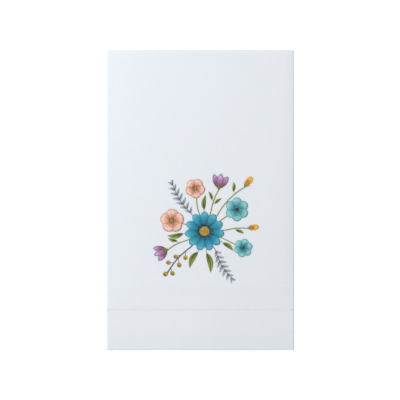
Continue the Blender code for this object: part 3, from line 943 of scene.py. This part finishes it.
def make_cup(cup, materials):
    """A tulip: three pointed petals, stitched from its base, the middle one in front."""
    rng = np.random.default_rng(int(cup.angle))
    base = radians(cup.angle)
    half = cup.width / cup.reach
    depth = cup.reach / CUP_ROWS
    stitches = []
    for way, front in ((-CUP_SPREAD, 0), (CUP_SPREAD, 0), (0.0, 1)):
        for row in range(CUP_ROWS):
            near = depth * row
            count = max(3, int(2 * half * (near + depth / 2) / SPACING))
            for place in range(count):
                off = (place + 0.5) / count * 2 - 1
                rim = cup_reach(off, cup) - 0.2
                start = max(0.4, near - depth * 0.5 * rng.random())
                end = rim if row == CUP_ROWS - 1 else min(rim, near + depth * (1 + 0.4 * rng.random()))
                if end - start < SHORTEST:
                    continue
                shift = 0.14 * front - 0.12 * off * off + 0.10 * (rng.random() - 0.5)
                tones = [0.95 * radius / cup.reach + shift for radius in (start, end)]
                lift = BODY_LIFT + 0.18 * front + 0.15 * (1 - off * off)
                turn = base + way + off * half
                ends = ((start, 0), (end, 0))
                stitches.append(stroke(cup, turn, *ends, (lift, lift * 0.85), THREAD, tones))
        offs = np.linspace(-0.93, 0.93, 15)
        rim = np.array([cup_reach(off, cup) - 0.1 for off in offs])
        line = np.stack(turned(rim, 0, cup, base + way + offs * half), axis=-1)
        stitches += line_stitches(line, OUTLINE_WIDTH, 0.42 + 0.18 * front, 0.05, rng)
    outline = [(cup.x, cup.y)]
    for turn in np.linspace(-CUP_OPENING, CUP_OPENING, 41):
        reach = max(cup_reach((turn - way) / half, cup) for way in (-CUP_SPREAD, 0.0, CUP_SPREAD))
        outline.append(turned(max(reach - 0.3, 0.5), 0, cup, base + turn))
    blocks = [ground(outline, GROUND_TONE), strands(stitches)]
    piece = make_worked(cup.name + "_petals", cup.thread, materials, blocks)
    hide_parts(cup.name)


def crossings(outline, y):
    """Where a level line crosses a closed outline, from left to right."""
    after = np.roll(outline, -1, axis=0)
    above = outline[:, 1] > y
    crosses = above != (after[:, 1] > y)
    a, b = outline[crosses], after[crosses]
    return np.sort(a[:, 0] + (y - a[:, 1]) / (b[:, 1] - a[:, 1]) * (b[:, 0] - a[:, 0]))


def satin(motif, outline, angle, rng, longest=5.5):
    """Stitches side by side along +X across an outline, split where they'd be too long."""
    low, high = outline[:, 1].min(), outline[:, 1].max()
    first, span = outline[:, 0].min(), np.ptp(outline[:, 0])
    count = max(2, int((high - low) / SPACING))
    stitches = []
    for line in range(count):
        y = low + (high - low) * (line + 0.5) / count
        left, right = crossings(outline, y)[[0, -1]] + (0.1, -0.1)
        parts = max(1, round((right - left) / longest))
        cuts = np.linspace(left, right, parts + 1)
        cuts[1:-1] += 1.4 * (rng.random(parts - 1) - 0.5)
        off = (line + 0.5) / count * 2 - 1
        lift = BODY_LIFT + 0.32 * (1 - off * off)
        shift = TONE_NOISE * (rng.random() - 0.5)
        for start, end in zip(cuts, cuts[1:]):
            tones = [0.2 + 0.75 * (place - first) / span + shift for place in (start, end)]
            ends = ((start, y), (end, y))
            stitches.append(stroke(motif, angle, *ends, (lift, lift * 0.9), THREAD, tones))
    return stitches


def make_bud(bud, materials):
    """A bud: an egg shape in satin, darker at its base."""
    rng = np.random.default_rng(int(bud.angle) + 3)
    angle = radians(bud.angle)
    turns = full_turn(20)
    along = (1 - np.cos(turns)) / 2
    half = bud.width / 2 * (BUD_BASE + (BUD_CROWN - BUD_BASE) * along)
    rim = np.stack([bud.length * along, half * np.sin(turns)], axis=-1)
    outline = np.stack(turned(rim[:, 0] * 0.96 + 0.2, rim[:, 1] * 0.9, bud, angle), axis=-1)
    stitches = satin(bud, rim, angle, rng)
    for off in (-0.3, 0.0, 0.3):
        ends = ((bud.length * 0.12, bud.width * off * 0.4), (bud.length * 0.62, bud.width * off))
        stitches.append(stroke(bud, angle, *ends, (0.78, TOP_LIFT), VEIN_WIDTH, (-0.1, 0.2)))
    blocks = [ground(outline, GROUND_TONE), strands(stitches)]
    piece = make_worked(bud.name + "_satin", bud.thread, materials, blocks)
    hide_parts(bud.name)


def make_berries(materials):
    """Round berries in satin, with a tiny dark crown where each flower was."""
    rng = np.random.default_rng(23)
    stitches, crowns, blocks = [], [], []
    twig = np.array(stem_line(TWIG))
    for berry in BERRIES:
        stitches += satin(berry, circle(0, 0, berry.radius, 20), 0.7 + 0.5 * rng.random(), rng)
        blocks.append(ground(circle(berry.x, berry.y, berry.radius * 0.9, 20), GROUND_TONE))
        distance = np.hypot(twig[:, 0] - berry.x, twig[:, 1] - berry.y)
        root = twig[max(0, int(distance.argmin()) - 2)]
        away = np.arctan2(berry.y - root[1], berry.x - root[0])
        near = berry.radius * 0.8
        stalk = [root, (berry.x - near * cos(away), berry.y - near * sin(away))]
        crowns += line_stitches(stalk, STALK_WIDTH, LOW_LIFT, 0.5, rng)
        for fan in (-0.55, 0.0, 0.55):
            ends = ((berry.radius * 0.25, 0), (berry.radius * 1.15, 0))
            crowns.append(stroke(berry, away + fan, *ends, (TOP_LIFT, 0.42), STALK_WIDTH, (0.2, 0.6)))
    blocks.append(strands(stitches))
    piece = make_worked("berries_satin", "mustard", materials, blocks)
    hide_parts(*[berry.name for berry in BERRIES])
    return crowns


# Leaves and stems


def bowed(along, length, bend):
    """A place on a line along +X that bows to its left, at a share of its length."""
    return length * along, 4 * bend * along * (1 - along)


def leaf_half(along, width):
    return width / 2 * sin(pi * along ** 0.8) ** 0.8 if 0 < along < 1 else 0.0


def leaf_stitches(leaf, rng, rib=0.30):
    """Slanted satin from the midrib to both sides of a leaf, with a line along the midrib."""
    angle = radians(leaf.angle)
    count = max(5, int(leaf.length / (THREAD * 0.95)))
    stitches = []
    for side in (1, -1):
        for place in range(count):
            along = (place + 0.5) / count
            x0, y0 = bowed(along, leaf.length, leaf.bend)
            tip = min(0.995, along + 1.1 * leaf_half(along, leaf.width) / leaf.length)
            x1, y1 = bowed(tip, leaf.length, leaf.bend)
            half = leaf_half(tip, leaf.width) - 0.12
            if half < 0.2:
                continue
            tone = 0.22 + 0.50 * along + 0.12 * side + 0.14 * (rng.random() - 0.5)
            ends = ((x0, y0 + side * 0.1), (x1, y1 + side * half))
            stitches.append(stroke(leaf, angle, *ends, (0.42, 0.26), THREAD, (tone - 0.08, tone + 0.14)))
    line = [bowed(step / 10, leaf.length * 0.92, leaf.bend) for step in range(11)]
    line = [turned(x, y, leaf, angle) for x, y in line]
    return stitches + line_stitches(line, rib, 0.60, 0.05, rng)


def leaf_outline(leaf, steps=10):
    angle = radians(leaf.angle)
    rim = []
    for step in range(steps + 1):
        x, y = bowed(step / steps, leaf.length, leaf.bend)
        rim.append((x, y, max(0.0, leaf_half(step / steps, leaf.width) - 0.25)))
    left = [turned(x, y + half, leaf, angle) for x, y, half in rim]
    right = [turned(x, y - half, leaf, angle) for x, y, half in rim[-2:0:-1]]
    return left + right


def leaflets(fern):
    """The small leaves of a fern, in pairs along its vein, smaller towards both ends."""
    angle = radians(fern.angle)
    pitch = fern.length / fern.lobes
    small = []
    for lobe in range(fern.lobes):
        x, y = bowed(lobe / fern.lobes, fern.length, fern.bend)
        fullness = FIRST_LEAFLET + (LAST_LEAFLET - FIRST_LEAFLET) * lobe / fern.lobes
        reach = fern.width / 2 * sin(pi * fullness)
        for side in (1, -1):
            root_x, root_y = turned(x + pitch * 0.12, y + side * 0.15, fern, angle)
            run = (pitch * 0.9, side * reach)
            lean = fern.angle + np.degrees(np.arctan2(run[1], run[0]))
            length = hypot(*run)
            shape = (lean, length, length * LEAFLET_WIDTH, -0.5 * side)
            small.append(Leaf("leaflet", root_x, root_y, *shape, thread=fern.thread))
    return small


def make_fern(fern, materials):
    """A fern: its leaflets in pale satin. Its vein is returned, to be worked in the dark thread."""
    rng = np.random.default_rng(int(abs(fern.angle)))
    stitches, blocks = [], []
    for leaf in leaflets(fern):
        stitches += leaf_stitches(leaf, rng, rib=0.24)
        blocks.append(ground(leaf_outline(leaf, steps=6), 0.5))
    blocks.append(strands(stitches))
    piece = make_worked(fern.name + "_satin", fern.thread, materials, blocks)
    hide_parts(fern.name)
    vein = [bowed(step / 12, fern.length, fern.bend) for step in range(13)]
    vein = [turned(x, y, fern, radians(fern.angle)) for x, y in vein]
    return line_stitches([daisy_rim(vein[0])] + vein, THREAD, 0.52, 0.6, rng)


def daisy_rim(place):
    """Where the way from the daisy's middle to a place leaves the daisy."""
    turn = np.arctan2(place[1] - DAISY.y, place[0] - DAISY.x)
    pitch = 2 * pi / DAISY.petals
    from_axis = (turn - radians(DAISY.first) + pitch / 2) % pitch - pitch / 2
    reach = float(petal_reach(from_axis, DAISY.reach, DAISY.width)) - 0.6
    return DAISY.x + reach * cos(turn), DAISY.y + reach * sin(turn)


def stem_line(stem):
    """The line of a stem, from the daisy's rim to under its flower, bowed to its left."""
    turn = radians(stem.angle)
    root = (DAISY.x + STEM_START * cos(turn), DAISY.y + STEM_START * sin(turn))
    run = (stem.x - root[0], stem.y - root[1])
    length = hypot(*run)
    line = [daisy_rim(root)]
    for step in range(STEM_STEPS + 1):
        along = step / STEM_STEPS
        bow = 4 * stem.bow * along * (1 - along)
        x = root[0] + run[0] * along - run[1] / length * bow
        y = root[1] + run[1] * along + run[0] / length * bow
        line.append((x, y))
    reach = np.array(line[-1]) - np.array(line[-2])
    line.append(tuple(np.array(line[-1]) + reach / np.hypot(*reach) * STEM_BITE))
    return line


def calyx(head, length, width):
    """Four small sepals that clasp a head's base, two strokes each."""
    angle = radians(head.angle)
    strokes = []
    for sepal in SEPALS:
        tip = (length * sepal.length, -width * sepal.spread)
        for shift in (-0.22, 0.22):
            ends = ((-1.0, shift * 0.6), (tip[0], tip[1] + shift * 0.5))
            strokes.append(stroke(head, angle, *ends, (0.50, TOP_LIFT), STEM_WIDTH, (0.25, 0.6)))
    return strokes


def leaf_stalk(leaf, lines, rng):
    """A short stalk from a leaf's base to the nearest stem, or to the daisy's rim."""
    base = np.array([leaf.x, leaf.y])
    places = np.array([place for line in lines for place in line] + [daisy_rim(base)])
    nearest = places[np.hypot(*(places - base).T).argmin()]
    return line_stitches([nearest, base], STALK_WIDTH, LOW_LIFT, 0.3, rng)


def make_leaves_and_stems(materials):
    """All that is worked in olive, and the dark twig with the crowns, stalks and veins."""
    rng = np.random.default_rng(11)
    plain = [leaf for leaf in LEAVES if not leaf.lobes]
    stitches = []
    for leaf in plain:
        stitches += leaf_stitches(leaf, rng)
    blocks = [ground(leaf_outline(leaf), GROUND_TONE) for leaf in plain] + [strands(stitches)]
    piece = make_worked("leaves_satin", "olive", materials, blocks)
    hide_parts(*[leaf.name for leaf in plain])
    dark = make_berries(materials)
    for fern in LEAVES:
        if fern.lobes:
            dark += make_fern(fern, materials)
    green = [stem for stem in STEMS if stem.thread == "olive"]
    lines = [stem_line(stem) for stem in green]
    stitches = []
    for line in lines:
        stitches += double_line(line, rng)
    for leaf in plain:
        stitches += leaf_stalk(leaf, lines, rng)
    for cup in CUPS:
        stitches += calyx(cup, cup.reach, cup.width)
    for bud in BUDS:
        stitches += calyx(bud, bud.length, bud.width)
    piece = make_worked("olive_stems", "olive", materials, [strands(stitches)])
    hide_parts(*[stem.name for stem in green])
    stitches = double_line(stem_line(TWIG), rng) + dark
    piece = make_worked("charcoal_twig", "charcoal", materials, [strands(stitches)])
    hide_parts(TWIG.name)


def double_line(line, rng):
    """Two lines of stem stitch side by side, the left one lighter."""
    line = np.array(line)
    run = np.gradient(line, axis=0)
    normal = np.stack([-run[:, 1], run[:, 0]], axis=-1) / np.hypot(run[:, 0], run[:, 1])[:, None]
    stitches = []
    for side, tone in ((-0.19, 0.35), (0.19, 0.65)):
        stitches += line_stitches(line + normal * side, STEM_WIDTH, BODY_LIFT, tone, rng, length=2.6)
    return stitches


def make_posy(materials):
    for blossom in BLOSSOMS:
        make_blossom(blossom, materials)
    make_stamens(materials)
    for cup in CUPS:
        make_cup(cup, materials)
    for bud in BUDS:
        make_bud(bud, materials)
    make_leaves_and_stems(materials)


# The stage


def make_floor():
    bpy.ops.mesh.primitive_plane_add(size=2 * FLOOR_REACH, location=(0, 0, -FLOOR_DROP))
    floor = bpy.context.object
    floor.name = "floor"
    tree = Tree("floor")
    tree.set(Base_Color=FLOOR_COLOUR, Roughness=0.9, Specular_IOR_Level=0.0)
    tree.set(Emission_Color=WHITE, Emission_Strength=FLOOR_GLOW)
    floor.data.materials.append(tree.material)
    floor.visible_diffuse = False


def make_lights():
    for lamp in LAMPS:
        light = bpy.data.lights.new(lamp.name, "AREA")
        light.shape = "DISK"
        light.size = lamp.size
        light.energy = lamp.power
        light.color = lamp.colour
        stand = add_item(lamp.name, light)
        stand.location = lamp.place
        aim = -stand.location.normalized()
        stand.rotation_euler = aim.to_track_quat("-Z", "Y").to_euler()
    world = bpy.data.worlds.new("studio")
    world.use_nodes = True
    sky = world.node_tree.nodes["Background"]
    sky.inputs["Color"].default_value = SKY_COLOUR
    sky.inputs["Strength"].default_value = SKY_STRENGTH
    bpy.context.scene.world = world


def make_camera():
    """Straight above the towel, as far off as gives the photograph's scale on its face."""
    view = bpy.data.cameras.new("camera")
    view.lens = LENS
    view.sensor_width = SENSOR
    distance = PIXEL * FRAME_PIXELS * LENS / SENSOR
    camera = add_item("camera", view)
    camera.location = (CAMERA_X, CAMERA_Y, MIDDLE_HEIGHT + distance)
    bpy.context.scene.camera = camera


def main():
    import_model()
    linen = linen_material("linen", CLOTH_SHADES)
    # The drawn threads' material is a lightened copy of the linen: painted light.
    drawn = linen_material("drawn_thread", LIGHTENED_DRAWN_SHADES)
    materials = {name: thread_material(name, shades) for name, shades in THREADS.items()}
    cloth = make_cloth(linen)
    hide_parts("towel")
    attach(cloth, "root")
    stitching = make_hemstitching(drawn)
    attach(stitching, "root")
    make_posy(materials)
    make_floor()
    make_lights()
    make_camera()
    bpy.context.scene.view_settings.view_transform = "Standard"


main()
